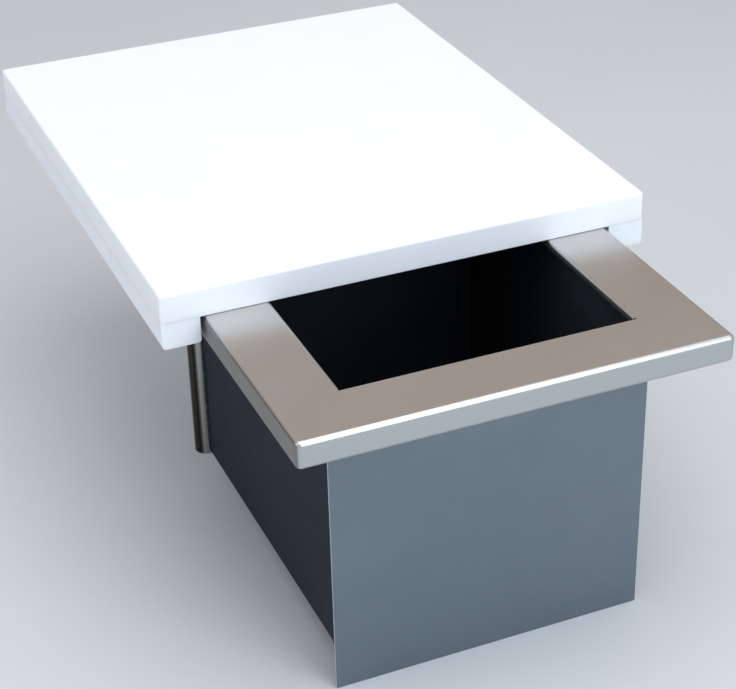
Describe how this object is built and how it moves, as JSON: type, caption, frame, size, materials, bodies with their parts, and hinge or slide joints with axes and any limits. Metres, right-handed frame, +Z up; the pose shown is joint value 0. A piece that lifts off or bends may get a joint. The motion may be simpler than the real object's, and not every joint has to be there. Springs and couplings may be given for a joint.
{
  "type": "security tag detacher counter well",
  "caption": "Drop-in counter well: stainless frame with a rectangular mouth, sheet-metal well with a dark liner under it, and a white cover that slides on two runners.",
  "frame": {"origin": "on the worktop's surface, in the middle of the front strip of the frame's folded seat", "axes": "+Z up out of the worktop, +Y away from the user along the cover's slide, +X to the user's right"},
  "size_m": [0.418, 0.702, 0.2953],
  "materials": {
    "white_plastic": "satin, slightly waxy white polyethylene",
    "frame_steel": "fine satin grain along the width",
    "panel_steel": "dull blue-grey satin",
    "wall_steel": "dull satin",
    "tube_steel": "drawn tube, satin",
    "black_plastic": "matt black",
    "fastener_steel": "plain stainless"
  },
  "bodies": {
    "housing": {"top_frame": "frame_steel", "shelf_stiffener": "frame_steel", "front_panel": "panel_steel", "side_wall_left": "wall_steel", "side_wall_right": "wall_steel", "rear_wall": "wall_steel", "base_panel": "wall_steel", "rear_post_left": "tube_steel", "rear_post_right": "tube_steel", "well_liner": "black_plastic", "post_plug_left": "black_plastic", "post_plug_right": "black_plastic", "base_screw_left_1": "fastener_steel", "base_screw_left_2": "fastener_steel", "base_screw_left_3": "fastener_steel", "base_screw_right_1": "fastener_steel", "base_screw_right_2": "fastener_steel", "base_screw_right_3": "fastener_steel", "stud_nut_left_1": "fastener_steel", "stud_nut_left_2": "fastener_steel", "stud_nut_left_3": "fastener_steel", "stud_nut_right_1": "fastener_steel", "stud_nut_right_2": "fastener_steel", "stud_nut_right_3": "fastener_steel", "stud_nut_front_1": "fastener_steel", "stud_nut_front_2": "fastener_steel", "stud_nut_front_3": "fastener_steel", "stud_nut_rear_1": "fastener_steel", "stud_nut_rear_2": "fastener_steel", "stud_nut_rear_3": "fastener_steel"},
    "cover": {"cover_board": "white_plastic", "runner_left": "white_plastic", "runner_right": "white_plastic", "runner_screw_left_1": "fastener_steel", "runner_screw_left_2": "fastener_steel", "runner_screw_left_3": "fastener_steel", "runner_screw_left_4": "fastener_steel", "runner_screw_right_1": "fastener_steel", "runner_screw_right_2": "fastener_steel", "runner_screw_right_3": "fastener_steel", "runner_screw_right_4": "fastener_steel"}
  },
  "joints": [
    {"name": "cover_slide", "type": "slide", "parent": "housing", "child": "cover", "axis": [0, 1, 0], "range_m": [-0.1995, 0.03]}
  ]
}
